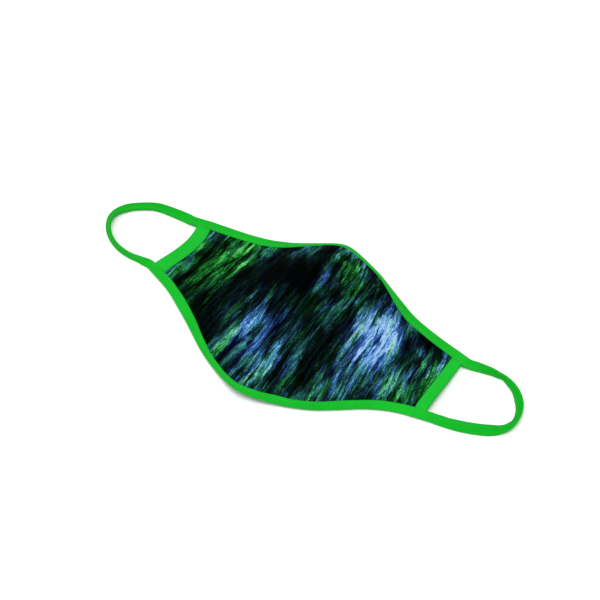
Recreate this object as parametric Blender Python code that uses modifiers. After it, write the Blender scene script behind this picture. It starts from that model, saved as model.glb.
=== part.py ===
"""Cloth face mask, lying on a flat surface with its outer face up.

The cloth panel is a dome over an open hollow.  Its long edges are wrapped by a
folded tape (upper and lower binding), its two ends by side bands, and the tape
runs on past each end as a flat ear loop.

Frame: X from ear to ear, +Y towards the nose edge, -Y towards the chin,
+Z up and away from the wearer's face.  Sizes below are in millimetres.
"""
import math

import bmesh
import bpy
import numpy as np
from mathutils import Vector

MM = 0.001

# ---------------------------------------------------------------- named sizes
CLOTH = 1.2            # thickness of the face panel
TAPE_WIDTH = 8.4       # width of the folded edge tape, on each face
TAPE_WALL = 0.75       # thickness of one layer of the tape
TAPE_PLAY = 0.35       # air between the tape and the cloth inside it
NOSE_PINCH = 0.24      # share of its width lost where it is pulled round the nose
NOSE_REACH = 34.0      # how far from the nose ridge that pull is felt
BAND_WIDTH = 9.6       # width of the side bands, on each face
LOOP_WIDTH = 7.8       # the ear loop is the same tape folded shut
LOOP_THICK = 1.6
ON_EDGE_LIFT = 0.08    # the loop's twisting edge clears the surface by this
BUTT_GAP = 0.4         # gap where two pieces of tape meet
FOLD = CLOTH / 2 + TAPE_PLAY + TAPE_WALL / 2   # half depth of the folded tape
PANEL_INSET = 2.0      # the cloth stops this far inside the tape's fold
STEP = 6.2             # spacing of the sections across the mask
RIDGE_STEP = 2.8       # and over the ridge between nose and chin
RIDGE_HALF = 18.0      # half width of that ridge

# The dome, one row per section across the mask (a section is a cut at x).
#   y, z        the outer edge of the cloth with its tape
#   rise        how steeply the cloth climbs away from that edge, degrees
#   full        length of the section's end tangents, as a share of its chord
SECTION_COLUMNS = ("x", "y_nose", "z_nose", "rise_nose",
                   "y_chin", "z_chin", "rise_chin", "full")
SECTIONS = (
    (-122, 28.8, 2.0, 2, -27.2, 1.1, 52, 0.20),
    (-96, 33.5, 2.0, 5, -35.3, 1.0, 48, 0.21),
    (-78, 36.8, 2.1, 9, -44.8, 1.0, 46, 0.25),
    (-62, 40.7, 2.2, 15, -54.3, 1.0, 50, 0.31),
    (-48, 45.6, 2.9, 24, -63.3, 1.0, 60, 0.36),
    (-36, 49.4, 6.1, 33, -70.2, 1.2, 70, 0.385),
    (-24, 51.3, 12.1, 40, -76.0, 2.5, 76, 0.395),
    (-12, 51.1, 19.7, 45, -81.2, 4.9, 79, 0.38),
    (0, 50.0, 25.2, 50, -84.7, 7.6, 80, 0.37),
    (12, 50.8, 19.7, 55, -82.4, 5.5, 80, 0.38),
    (24, 51.1, 12.1, 56, -77.0, 3.0, 79, 0.395),
    (36, 48.9, 6.1, 50, -71.4, 1.4, 76, 0.385),
    (48, 45.3, 2.9, 34, -64.6, 1.0, 72, 0.36),
    (62, 40.0, 2.2, 20, -55.1, 1.0, 67, 0.31),
    (78, 35.6, 2.1, 14, -43.8, 1.0, 62, 0.25),
    (96, 32.1, 2.0, 7, -35.0, 1.0, 56, 0.21),
    (122, 30.9, 2.0, 2, -28.6, 1.1, 56, 0.20),
)

# The ends of the body.  "edge" is the x of the side band's free edge, given
# near the nose corner, half way and near the chin corner.
END_COLUMNS = ("side", "edge_nose", "edge_mid", "edge_chin")
ENDS = (
    ("left", -112.6, -109.4, -114.6),
    ("right", 111.6, 113.0, 113.6),
)

# The ear loops, one row per point of the tape's centre line, from the nose
# corner round to the chin corner.  roll is how far the tape has turned from
# lying flat: its inner edge lifts, or its outer edge where roll is below zero.
LOOP_COLUMNS = ("x", "y", "roll")
LOOPS = {
    "left": (
        (-122.5, 26.0, 0), (-134.5, 25.0, 0), (-147.0, 22.6, 2),
        (-157.2, 17.4, 8), (-165.0, 9.2, 14), (-168.4, -1.5, 32),
        (-165.0, -13.0, 60), (-156.5, -21.3, 78), (-145.5, -26.0, 84),
        (-134.0, -27.9, 82), (-124.0, -27.2, 70)),
    "right": (
        (117.0, 26.9, -2), (122.0, 27.0, -26), (127.5, 27.6, -72),
        (133.5, 28.6, -91), (139.4, 28.5, -92), (144.7, 27.4, -85),
        (149.7, 25.2, -76), (154.4, 22.2, -68), (158.5, 18.5, -60),
        (161.8, 14.1, -55), (164.2, 8.9, -53), (165.3, 3.1, -48),
        (164.9, -2.1, -36), (162.7, -6.3, -18), (159.3, -9.6, 0),
        (155.6, -12.7, 14), (147.6, -17.9, 34), (138.2, -22.4, 48),
        (128.3, -25.5, 56)),
}

# Colours of the plain materials (linear RGB), roughness
PRINT_CLOTH = ((0.010, 0.022, 0.050, 1.0), 0.85)
TAPE_GREEN = ((0.016, 0.45, 0.045, 1.0), 0.80)


# ------------------------------------------------------------- interpolation
def smooth_rows(keys, values, at):
    """Cubic through the rows that never overshoots between two of them."""
    k = np.asarray(keys, float)
    v = np.asarray(values, float)
    h = np.diff(k)
    slope = np.diff(v) / h
    m = np.zeros_like(v)
    m[0], m[-1] = slope[0], slope[-1]
    for i in range(1, len(v) - 1):
        if slope[i - 1] * slope[i] > 0:
            a, b = 2 * h[i] + h[i - 1], h[i] + 2 * h[i - 1]
            m[i] = (a + b) / (a / slope[i - 1] + b / slope[i])
    at = min(max(at, k[0]), k[-1])
    i = min(int(np.searchsorted(k, at, side="right")) - 1, len(h) - 1)
    t = (at - k[i]) / h[i]
    return ((1 + 2 * t) * (1 - t) ** 2 * v[i] + t * (1 - t) ** 2 * h[i] * m[i]
            + t * t * (3 - 2 * t) * v[i + 1] + t * t * (t - 1) * h[i] * m[i + 1])


def row_value(name, x):
    column = SECTION_COLUMNS.index(name)
    return smooth_rows([r[0] for r in SECTIONS],
                       [r[column] for r in SECTIONS], x)


# ------------------------------------------------------------ the cloth dome
_SECTION_CACHE = {}


def section(x):
    """The cut at x: points from the chin edge to the nose edge, and the
    length run so far at each of them."""
    key = round(x, 5)
    if key not in _SECTION_CACHE:
        a = np.array([row_value("y_chin", x), row_value("z_chin", x)])
        d = np.array([row_value("y_nose", x), row_value("z_nose", x)])
        reach = row_value("full", x) * np.linalg.norm(d - a)
        up = math.radians(row_value("rise_chin", x))
        down = math.radians(row_value("rise_nose", x))
        b = a + reach * np.array([math.cos(up), math.sin(up)])
        c = d + reach * np.array([-math.cos(down), math.sin(down)])
        t = np.linspace(0, 1, 97)[:, None]
        pts = ((1 - t) ** 3 * a + 3 * t * (1 - t) ** 2 * b
               + 3 * t * t * (1 - t) * c + t ** 3 * d)
        run = np.concatenate(
            [[0], np.cumsum(np.linalg.norm(np.diff(pts, axis=0), axis=1))])
        _SECTION_CACHE[key] = (pts, run)
    return _SECTION_CACHE[key]


def section_length(x):
    return section(x)[1][-1]


def on_cloth(x, run, edge="chin"):
    """Point of the cloth at x, a given length in from the chin or nose edge."""
    pts, length = section(x)
    s = run if edge == "chin" else length[-1] - run
    if s < 0:                       # past the edge: straight on
        step = (pts[1] - pts[0]) / np.linalg.norm(pts[1] - pts[0])
        y, z = pts[0] + step * s
    elif s > length[-1]:
        step = (pts[-1] - pts[-2]) / np.linalg.norm(pts[-1] - pts[-2])
        y, z = pts[-1] + step * (s - length[-1])
    else:
        y = np.interp(s, length, pts[:, 0])
        z = np.interp(s, length, pts[:, 1])
    return np.array([x, y, z])


def cloth_normal(x, run, edge="chin"):
    """Upward normal of the cloth there."""
    h = 1.5
    along = on_cloth(x + h, run, edge) - on_cloth(x - h, run, edge)
    across = on_cloth(x, run + h, edge) - on_cloth(x, run - h, edge)
    n = np.cross(along, across)
    n /= np.linalg.norm(n)
    return n if n[2] > 0 else -n


def inward_step(x, edge):
    """How x and run change for each millimetre square to the edge."""
    h = 1.0
    along = (on_cloth(x + h, 0, edge) - on_cloth(x - h, 0, edge)) / (2 * h)
    across = on_cloth(x, 2 * h, edge) - on_cloth(x, 0, edge)
    across /= np.linalg.norm(across)
    tangent = along / np.linalg.norm(along)
    square = across - across.dot(tangent) * tangent
    square /= np.linalg.norm(square)
    solved = np.linalg.lstsq(np.stack([along, across], 1), square, rcond=None)
    return solved[0]


def band_edge(side, v, inset=0.0):
    """x of the side band's free edge; v runs 0 at the chin to 1 at the nose."""
    row = [r for r in ENDS if r[0] == side][0]
    x = smooth_rows([0.0, 0.5, 1.0], [row[3], row[2], row[1]], v)
    return x + inset if side == "left" else x - inset


# ------------------------------------------------------------- mesh building
def move_grid(name, columns, rows, place, thickness, material, collection):
    """A flat grid, each vertex moved by place(i, j), given an even wall."""
    mesh = bpy.data.meshes.new(name)
    bm = bmesh.new()
    bmesh.ops.create_grid(bm, x_segments=columns, y_segments=rows, size=0.5)
    for vert in bm.verts:
        i = int(round((vert.co.x + 0.5) * columns))
        j = int(round((vert.co.y + 0.5) * rows))
        vert.co = Vector([float(c) * MM for c in place(i, j)])
    bm.normal_update()
    bm.to_mesh(mesh)
    bm.free()
    mesh.materials.append(material)
    mesh.shade_smooth()
    mesh.set_sharp_from_angle(angle=math.radians(40))
    obj = bpy.data.objects.new(name, mesh)
    collection.objects.link(obj)
    wall = obj.modifiers.new("Wall", "SOLIDIFY")
    wall.thickness = thickness * MM
    wall.offset = 0.0
    wall.use_even_offset = True
    return obj


def principled(name, colour, roughness):
    material = bpy.data.materials.new(name)
    material.use_nodes = True
    node = material.node_tree.nodes["Principled BSDF"]
    node.inputs["Base Color"].default_value = colour
    node.inputs["Roughness"].default_value = roughness
    node.inputs["Metallic"].default_value = 0.0
    material.diffuse_color = colour
    return material


def stations(start, stop, step, fine_step, fine_half):
    """Section positions, closer together over the nose ridge and chin."""
    out, x = [start], start
    while x < stop:
        near = abs(x + 0.5 * fine_step) < fine_half
        x += fine_step if near else step
        out.append(x)
    out = np.array(out)
    return start + (out - start) * (stop - start) / (out[-1] - start)


# ------------------------------------------------------------------ the parts
def build_panel(material, collection):
    """The printed cloth: a grid over the dome, inset inside all four tapes."""
    share = (stations(-110, 110, STEP, RIDGE_STEP, RIDGE_HALF) + 110) / 220
    near_edge = [PANEL_INSET, 5.0, 9.5, 15.0]
    middle = 9

    rows = 2 * len(near_edge) + middle - 1

    def run_of_row(j, length):
        if j < len(near_edge):
            return near_edge[j]
        if j > rows - len(near_edge):
            return length - near_edge[rows - j]
        k = (j - len(near_edge) + 1) / (middle + 1)
        return near_edge[-1] + (length - 2 * near_edge[-1]) * k

    def place(i, j):
        v = j / rows
        for _ in range(3):          # settles x and the height up the section
            left = band_edge("left", v, PANEL_INSET)
            right = band_edge("right", v, PANEL_INSET)
            x = left + (right - left) * share[i]
            run = run_of_row(j, section_length(x))
            v = run / section_length(x)
        return on_cloth(x, run)

    return move_grid("face_panel", len(share) - 1, rows, place, CLOTH,
                     material, collection)


def fold_profile(width):
    """The folded tape's half-way line: (distance in from the fold, side)."""
    return ((width, 1.0), (width * 0.62, 1.0), (width * 0.30, 1.0),
            (FOLD * 0.72, 0.92), (FOLD * 0.20, 0.58), (0.0, 0.0),
            (FOLD * 0.20, -0.58), (FOLD * 0.72, -0.92),
            (width * 0.30, -1.0), (width * 0.62, -1.0), (width, -1.0))


def binding_span(edge):
    row = {r[0]: r for r in ENDS}
    column = END_COLUMNS.index("edge_" + edge)
    reach = 1.4 if edge == "nose" else 3.2
    return row["left"][column] - reach, row["right"][column] + reach


def binding_point(edge, x, inward, side):
    dx, drun = inward_step(x, edge)
    at = x + dx * inward
    run = drun * inward
    return on_cloth(at, run, edge) + cloth_normal(at, run, edge) * FOLD * side


def tape_width(edge, x):
    """The tape is narrower where it is stretched over the nose ridge."""
    pinch = NOSE_PINCH * math.exp(-(x / NOSE_REACH) ** 2) if edge == "nose" else 0
    return TAPE_WIDTH * (1 - pinch)


def build_binding(name, edge, material, collection):
    first, last = binding_span(edge)
    xs = stations(first, last, STEP, RIDGE_STEP, RIDGE_HALF)
    profiles = [fold_profile(tape_width(edge, x)) for x in xs]
    if edge == "nose":              # keeps the grid's normals facing out
        profiles = [profile[::-1] for profile in profiles]

    def place(i, j):
        inward, side = profiles[i][j]
        return binding_point(edge, xs[i], inward, side)

    return move_grid(name, len(xs) - 1, len(profiles[0]) - 1, place, TAPE_WALL,
                     material, collection)


def build_side_band(name, side, material, collection):
    """Folded tape over the panel's end, between the two bindings' inner edges."""
    profile = fold_profile(BAND_WIDTH)
    if side == "right":
        profile = profile[::-1]
    steps = 9
    clear = TAPE_WIDTH + TAPE_WALL / 2 + BUTT_GAP

    def place(i, j):
        inward, face = profile[i]
        v = j / steps
        for _ in range(3):
            x = band_edge(side, v, inward)
            length = section_length(x)
            low = clear * inward_step(x, "chin")[1]
            high = length - clear * inward_step(x, "nose")[1]
            run = low + (high - low) * j / steps
            v = run / length
        return on_cloth(x, run) + cloth_normal(x, run) * FOLD * face

    return move_grid(name, len(profile) - 1, steps, place, TAPE_WALL,
                     material, collection)


def tape_end(edge, side):
    """Centre and lean of the binding where the ear loop takes over."""
    first, last = binding_span(edge)
    x = first if side == "left" else last
    outer = binding_point(edge, x, 0.0, 0.0)
    inner = binding_point(edge, x, TAPE_WIDTH, 0.0)
    lean = math.degrees(math.asin((inner[2] - outer[2])
                                  / np.linalg.norm(inner - outer)))
    square = (inner - outer) / np.linalg.norm(inner - outer)
    return outer + square * LOOP_WIDTH / 2, lean


def loop_path(side):
    """Rows of the ear loop with the two ends of the bindings added."""
    sign = -1 if side == "left" else 1
    start, start_roll = tape_end("nose", side)
    stop, stop_roll = tape_end("chin", side)
    away = np.array([sign, 0, 0])
    start = start + away * (BUTT_GAP + 0.5)
    stop = stop + away * (BUTT_GAP + 2.1)
    rows = [(start[0], start[1], start_roll, start[2])]
    for x, y, roll in LOOPS[side]:
        rows.append((x, y, roll, None))
    rows.append((stop[0], stop[1], stop_roll, stop[2]))
    out = []
    for x, y, roll, z in rows:
        lean = math.radians(roll)
        rest = (LOOP_WIDTH / 2 * abs(math.sin(lean))
                + LOOP_THICK / 2 * math.cos(lean))
        out.append((x, y, rest if z is None else max(z, rest), roll))
    return np.array(out)


def build_loop(name, side, material, collection):
    rows = loop_path(side)
    run = np.concatenate(
        [[0], np.cumsum(np.linalg.norm(np.diff(rows[:, :2], axis=0), axis=1))])
    steps = 62

    def slope(k):
        lo, hi = max(k - 1, 0), min(k + 1, len(run) - 1)
        return (rows[hi, :2] - rows[lo, :2]) / (run[hi] - run[lo])

    def centre(s):
        """Smooth curve through the rows in plan; height and roll keep level
        where two rows agree, so that stretch lies truly flat."""
        s = min(max(s, 0.0), run[-1])
        i = min(int(np.searchsorted(run, s, side="right")) - 1, len(run) - 2)
        h = run[i + 1] - run[i]
        t = (s - run[i]) / h
        plan = ((1 + 2 * t) * (1 - t) ** 2 * rows[i, :2]
                + t * (1 - t) ** 2 * h * slope(i)
                + t * t * (3 - 2 * t) * rows[i + 1, :2]
                + t * t * (t - 1) * h * slope(i + 1))
        return (*plan, smooth_rows(run, rows[:, 2], s),
                smooth_rows(run, rows[:, 3], s))

    # the left loop's rows run anticlockwise seen from above, the right's clockwise
    hole_side = 1.0 if side == "left" else -1.0

    def place(i, j):
        s = run[-1] * i / steps
        here = centre(s)
        ahead, behind = centre(s + 1.0), centre(s - 1.0)
        tangent = np.array(ahead[:2]) - np.array(behind[:2])
        tangent /= np.linalg.norm(tangent)
        inward = hole_side * np.array([-tangent[1], tangent[0]])
        lean = math.radians(here[3])
        reach = LOOP_WIDTH * (j / 2 - 0.5)      # from outer to inner edge
        z = max(here[2], LOOP_WIDTH / 2 * abs(math.sin(lean))
                + LOOP_THICK / 2 * math.cos(lean))
        return (here[0] + inward[0] * reach * math.cos(lean),
                here[1] + inward[1] * reach * math.cos(lean),
                z + reach * math.sin(lean) + ON_EDGE_LIFT * abs(math.sin(lean)))

    return move_grid(name, steps, 2, place, LOOP_THICK, material, collection)


def box_of(objects):
    depsgraph = bpy.context.evaluated_depsgraph_get()
    points = []
    for obj in objects:
        evaluated = obj.evaluated_get(depsgraph)
        mesh = evaluated.to_mesh()
        points += [tuple(v.co) for v in mesh.vertices]
        evaluated.to_mesh_clear()
    points = np.array(points)
    return points.min(0), points.max(0)


def main():
    for obj in list(bpy.data.objects):
        bpy.data.objects.remove(obj, do_unlink=True)
    collection = bpy.data.collections.new("cloth_face_mask")
    bpy.context.scene.collection.children.link(collection)

    cloth = principled("print_cloth", *PRINT_CLOTH)
    tapes = {n: principled(n + "_tape", *TAPE_GREEN) for n in (
        "upper_binding", "lower_binding", "side_band_left",
        "side_band_right", "ear_loop_left", "ear_loop_right")}

    parts = [
        build_panel(cloth, collection),
        build_binding("upper_binding", "nose", tapes["upper_binding"], collection),
        build_binding("lower_binding", "chin", tapes["lower_binding"], collection),
        build_side_band("side_band_left", "left", tapes["side_band_left"], collection),
        build_side_band("side_band_right", "right", tapes["side_band_right"], collection),
        build_loop("ear_loop_left", "left", tapes["ear_loop_left"], collection),
        build_loop("ear_loop_right", "right", tapes["ear_loop_right"], collection),
    ]

    # The whole mask hangs on one empty, which sets it on the surface with the
    # middle of its footprint at the origin.
    bpy.context.view_layer.update()
    low, high = box_of(parts)
    root = bpy.data.objects.new("mask_origin", None)
    collection.objects.link(root)
    root.location = (-(low[0] + high[0]) / 2, -(low[1] + high[1]) / 2, -low[2])
    for obj in parts:
        obj.parent = root
    bpy.context.view_layer.update()


main()
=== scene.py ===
"""Looks of the cloth face mask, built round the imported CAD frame.

The sewn pieces are rebuilt as fine meshes on the same dome as the CAD solids:
a knit face panel, tape folded over its long edges, bands over its ends, and
ear loops of the same tape.  Sizes are millimetres until a mesh is made.
"""

import math

import bpy
import numpy as np
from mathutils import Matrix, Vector


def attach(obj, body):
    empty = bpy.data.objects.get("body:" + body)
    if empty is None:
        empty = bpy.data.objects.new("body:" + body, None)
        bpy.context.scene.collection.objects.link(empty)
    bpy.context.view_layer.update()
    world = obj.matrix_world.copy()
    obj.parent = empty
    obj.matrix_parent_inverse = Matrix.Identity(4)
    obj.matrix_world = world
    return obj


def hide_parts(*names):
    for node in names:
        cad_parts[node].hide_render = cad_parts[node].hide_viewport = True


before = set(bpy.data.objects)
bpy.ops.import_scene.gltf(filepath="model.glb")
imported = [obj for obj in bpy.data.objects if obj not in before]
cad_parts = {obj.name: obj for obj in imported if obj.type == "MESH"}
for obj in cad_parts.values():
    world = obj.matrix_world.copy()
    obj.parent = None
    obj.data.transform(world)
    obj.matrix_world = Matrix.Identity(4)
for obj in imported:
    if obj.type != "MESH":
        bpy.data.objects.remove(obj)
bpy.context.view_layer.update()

MM = 0.001
PLACE = np.array([1.722, 17.074, 0.006])    # the dome's own axes to the frame's

# ------------------------------------------------------------- named sizes
CLOTH = 1.2              # face panel, right through
PANEL_INSET = 2.0        # the cloth stops this far inside the tape's fold
TAPE_WIDTH = 8.4
TAPE_WALL = 0.75
LOOP_WIDTH = 7.8
BAND_WIDTH = {"left": 10.8, "right": 8.2}
STITCH_PITCH = 2.6
STITCH_LONG = 2.1
STITCH_IN = 1.9          # the stitch line lies this far in from the free edge
THREAD = 0.34

SECTION_COLUMNS = ("x", "y_nose", "z_nose", "rise_nose",
                   "y_chin", "z_chin", "rise_chin", "full")
SECTIONS = np.array((
    (-122, 28.7, 2.0, 2, -26.7, 1.1, 52, 0.2),
    (-96, 33.6, 2.0, 5, -35.9, 1.0, 48, 0.21),
    (-78, 36.7, 2.1, 9, -45.7, 1.0, 46, 0.25),
    (-62, 40.6, 2.2, 15, -55.2, 1.0, 50, 0.31),
    (-48, 45.7, 2.9, 24, -64.0, 1.0, 60, 0.36),
    (-36, 49.4, 6.1, 33, -70.5, 1.2, 70, 0.385),
    (-24, 51.1, 12.1, 40, -76.1, 2.5, 76, 0.395),
    (-12, 51.1, 19.7, 45, -81.3, 4.9, 79, 0.38),
    (0, 50.2, 25.2, 50, -84.8, 7.6, 80, 0.37),
    (12, 50.8, 19.7, 55, -82.0, 5.5, 80, 0.38),
    (24, 51.0, 12.1, 56, -76.8, 3.0, 79, 0.395),
    (36, 48.7, 6.1, 50, -71.6, 1.4, 76, 0.385),
    (48, 45.1, 2.9, 34, -65.4, 1.0, 72, 0.36),
    (62, 39.7, 2.2, 20, -55.6, 1.0, 67, 0.31),
    (78, 35.7, 2.1, 14, -44.0, 1.0, 62, 0.25),
    (96, 32.6, 2.0, 7, -35.5, 1.0, 56, 0.21),
    (122, 29.0, 2.0, 2, -29.2, 1.1, 56, 0.2),
))
END_COLUMNS = ("edge_nose", "edge_chin", "bow", "skew")
ENDS = {"left": (-116.0, -118.2, 8.0, 0.2), "right": (110.3, 112.9, 1.2, -0.1)}

BINDING_ENDS = {"nose": (-114.0, 113.0), "chin": (-117.8, 116.8)}

# Ear loops: the tape's centre line in plan and how far it has turned from
# lying flat (its inner edge lifts; below zero its outer edge does).
LOOPS = {
    "left": (
        (-122.5, 25.5, -12), (-134.5, 24.6, -6), (-147.0, 22.6, 2),
        (-156.7, 16.7, 10), (-165.0, 9.1, 8), (-168.8, -1.5, 32),
        (-164.7, -12.9, 62), (-156.4, -21.2, 83), (-145.6, -26.3, 93),
        (-134.0, -27.6, 97), (-128.5, -27.0, 95), (-123.0, -26.3, 74)),
    "right": (
        (117.0, 27.0, -3), (122.0, 27.4, -32), (127.5, 27.5, -84),
        (133.5, 28.4, -100), (139.4, 28.7, -102), (144.7, 27.25, -88),
        (149.8, 25.3, -80), (154.5, 22.4, -68), (158.6, 18.6, -56),
        (162.1, 14.4, -54), (164.7, 9.1, -55), (166.1, 3.1, -55),
        (165.4, -2.2, -37), (163.3, -6.8, -21), (159.5, -9.8, 1),
        (156.2, -13.6, 24), (148.0, -18.5, 40), (138.3, -22.7, 49),
        (128.4, -25.9, 62)),
}


# Where the right loop's tape creases across its width, from lying flat to
# standing on edge: its outer edge there as x, y and height.
CREASE_EDGE = ((112.0, 31.2, 1.4), (116.1, 31.1, 1.7), (121.7, 31.1, 3.0),
               (128.1, 30.4, 6.0), (134.7, 29.2, 8.6), (140.5, 28.1, 9.2),
               (146.0, 26.3, 9.4))
CREASE_FROM = 116.0
LOOP_EASE = {"left": (9.0, 7.0), "right": (6.0, 8.0)}
# How wide the folded tape shows along each edge: it takes in more or less
# cloth along the seam.
TAPE_TAKES = {
    "nose": ((-118, 8.0), (-96, 8.2), (-78, 8.4), (-62, 9.0), (-48, 10.0),
             (-36, 10.3), (-24, 10.4), (-12, 10.2), (0, 9.0), (12, 7.4),
             (24, 7.2), (36, 8.5), (48, 9.3), (62, 9.0), (78, 8.3),
             (96, 8.2), (118, 8.7)),
    "chin": ((-118, 6.3), (-96, 7.1), (-78, 7.8), (-62, 8.0), (-48, 8.1),
             (-36, 7.6), (-24, 7.0), (-12, 6.5), (0, 6.5), (12, 7.1),
             (24, 7.3), (36, 6.8), (48, 6.7), (62, 6.9), (78, 6.5),
             (96, 6.3), (118, 7.0))}
BAND_LIFT = 0.30         # the tape is lifted this much by a band under it
END_PRESS = 0.80         # how far a binding's end is pressed to the loop's section


# ------------------------------------------------------------- small tools
def smooth_rows(keys, values, at):
    """Cubic through the rows that never overshoots between two of them."""
    k, v = np.asarray(keys, float), np.asarray(values, float)
    h = np.diff(k)
    slope = np.diff(v) / h
    m = np.zeros_like(v)
    m[0], m[-1] = slope[0], slope[-1]
    for i in range(1, len(v) - 1):
        if slope[i - 1] * slope[i] > 0:
            a, b = 2 * h[i] + h[i - 1], h[i] + 2 * h[i - 1]
            m[i] = (a + b) / (a / slope[i - 1] + b / slope[i])
    at = np.clip(np.asarray(at, float), k[0], k[-1])
    i = np.clip(np.searchsorted(k, at, side="right") - 1, 0, len(h) - 1)
    t = (at - k[i]) / h[i]
    return ((1 + 2 * t) * (1 - t) ** 2 * v[i] + t * (1 - t) ** 2 * h[i] * m[i]
            + t * t * (3 - 2 * t) * v[i + 1] + t * t * (t - 1) * h[i] * m[i + 1])


def eased(values, sigma, step):
    """Gaussian easing of rows that are evenly spaced."""
    half = int(math.ceil(3 * sigma / step))
    kernel = np.exp(-0.5 * (np.arange(-half, half + 1) * step / sigma) ** 2)
    kernel /= kernel.sum()
    padded = np.concatenate([2 * values[0] - values[half:0:-1], values,
                             2 * values[-1] - values[-2:-half - 2:-1]])
    return np.convolve(padded, kernel, "valid")


def unit(v):
    return v / np.maximum(np.linalg.norm(v, axis=-1, keepdims=True), 1e-12)


def step01(x):
    x = np.clip(x, 0, 1)
    return x * x * (3 - 2 * x)


# ------------------------------------------------------------- the dome
DX, NS = 0.5, 241
TX = np.arange(-126, 126 + DX / 2, DX)
_col = {n: eased(smooth_rows(SECTIONS[:, 0], SECTIONS[:, k], TX), 2.6, DX)
        for k, n in enumerate(SECTION_COLUMNS) if n != "x"}


def _dome():
    a = np.stack([_col["y_chin"], _col["z_chin"]], 1)
    d = np.stack([_col["y_nose"], _col["z_nose"]], 1)
    reach = (_col["full"] * np.linalg.norm(d - a, axis=1))[:, None]
    up, down = np.radians(_col["rise_chin"]), np.radians(_col["rise_nose"])
    b = a + reach * np.stack([np.cos(up), np.sin(up)], 1)
    c = d + reach * np.stack([-np.cos(down), np.sin(down)], 1)
    t = np.linspace(0, 1, 401)[None, :, None]
    pts = ((1 - t) ** 3 * a[:, None] + 3 * t * (1 - t) ** 2 * b[:, None]
           + 3 * t * t * (1 - t) * c[:, None] + t ** 3 * d[:, None])
    run = np.concatenate([np.zeros((len(TX), 1)), np.cumsum(
        np.linalg.norm(np.diff(pts, axis=1), axis=2), axis=1)], axis=1)
    out = np.zeros((len(TX), NS, 2))
    for i in range(len(TX)):
        at = np.linspace(0, run[i, -1], NS)
        out[i, :, 0] = np.interp(at, run[i], pts[i, :, 0])
        out[i, :, 1] = np.interp(at, run[i], pts[i, :, 1])
    return out, run[:, -1]


TP, TL = _dome()


def length_at(x):
    return np.interp(x, TX, TL)


def cloth(x, s):
    """Points on the middle of the cloth; s is the length run in from the chin."""
    x, s = np.broadcast_arrays(np.asarray(x, float), np.asarray(s, float))
    L = length_at(x)
    f = np.clip(s / L, 0, 1)
    i = np.clip((x - TX[0]) / DX, 0, len(TX) - 1.0001)
    i0 = i.astype(int)
    a = (i - i0)[..., None]
    j = np.clip(f * (NS - 1), 0, NS - 1.0001)
    j0 = j.astype(int)
    b = (j - j0)[..., None]

    def at(q):
        return (TP[i0, q] * (1 - a) + TP[i0 + 1, q] * a)

    p = at(j0) * (1 - b) + at(j0 + 1) * b
    over = np.where(s < 0, s, np.where(s > L, s - L, 0.0))[..., None]
    low = unit(at(np.zeros_like(j0) + 2) - at(np.zeros_like(j0)))
    high = unit(at(np.zeros_like(j0) + NS - 1) - at(np.zeros_like(j0) + NS - 3))
    p = p + over * np.where(s[..., None] < 0, low, high)
    return np.concatenate([x[..., None], p], axis=-1)


def normal_at(x, s, h=1.5):
    along = cloth(x + h, s) - cloth(x - h, s)
    across = cloth(x, s + h) - cloth(x, s - h)
    n = unit(np.cross(along, across))
    return n * np.where(n[..., 2:] > 0, 1.0, -1.0)


def edge_run(edge, x, inward):
    return inward if edge == "chin" else length_at(x) - inward


def on_edge(edge, x, inward):
    return cloth(x, edge_run(edge, x, inward))


def edge_normal(edge, x, inward, h=1.5):
    along = on_edge(edge, x + h, inward) - on_edge(edge, x - h, inward)
    across = on_edge(edge, x, inward + h) - on_edge(edge, x, inward - h)
    n = unit(np.cross(along, across))
    return n * np.where(n[..., 2:] > 0, 1.0, -1.0)


def inward_step(x, edge):
    """How x and the run change for each millimetre square to the edge."""
    h = 1.0
    along = (on_edge(edge, x + h, 0.0) - on_edge(edge, x - h, 0.0)) / (2 * h)
    across = unit(on_edge(edge, x, 2 * h) - on_edge(edge, x, 0.0))
    tangent = unit(along)
    square = unit(across - (across * tangent).sum(-1, keepdims=True) * tangent)
    aa, ab = (along * along).sum(-1), (along * across).sum(-1)
    bb = (across * across).sum(-1)
    ra, rb = (along * square).sum(-1), (across * square).sum(-1)
    det = aa * bb - ab * ab
    return (ra * bb - rb * ab) / det, (rb * aa - ra * ab) / det


def band_edge(side, v, inset=0.0):
    nose, chin, bow, skew = ENDS[side]
    v = np.clip(v, 0, 1)
    x = chin + (nose - chin) * v + 4 * bow * v * (1 - v) * (1 + skew * (2 * v - 1))
    return x + inset if side == "left" else x - inset


# ------------------------------------------------------------- mesh making
def new_mesh(name, verts, faces, smooth=True):
    mesh = bpy.data.meshes.new(name)
    verts = np.asarray(verts) + PLACE
    verts[:, 2] = np.maximum(verts[:, 2], 0.01)       # rests on the surface
    mesh.from_pydata([tuple(v) for v in verts * MM], [], faces)
    mesh.validate()
    mesh.update()
    if smooth:
        mesh.shade_smooth()
        mesh.set_sharp_from_angle(angle=math.radians(58))
    obj = bpy.data.objects.new(name, mesh)
    bpy.context.scene.collection.objects.link(obj)
    return obj


def tube(rings, closed_ends=True):
    """Faces of a tube of closed rings, (stations, points, 3), capped."""
    n, m, _ = rings.shape
    verts = rings.reshape(-1, 3)
    faces = []
    for i in range(n - 1):
        a, b = i * m, (i + 1) * m
        for j in range(m):
            k = (j + 1) % m
            faces.append((a + j, a + k, b + k, b + j))
    if closed_ends:
        half = m // 2        # a folded section is capped as a strip of quads
        for base, flip in ((0, True), ((n - 1) * m, False)):
            for j in range(half - 1):
                q = (base + j, base + j + 1, base + m - 2 - j, base + m - 1 - j)
                faces.append(q[::-1] if flip else q)
    return verts, faces


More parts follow.
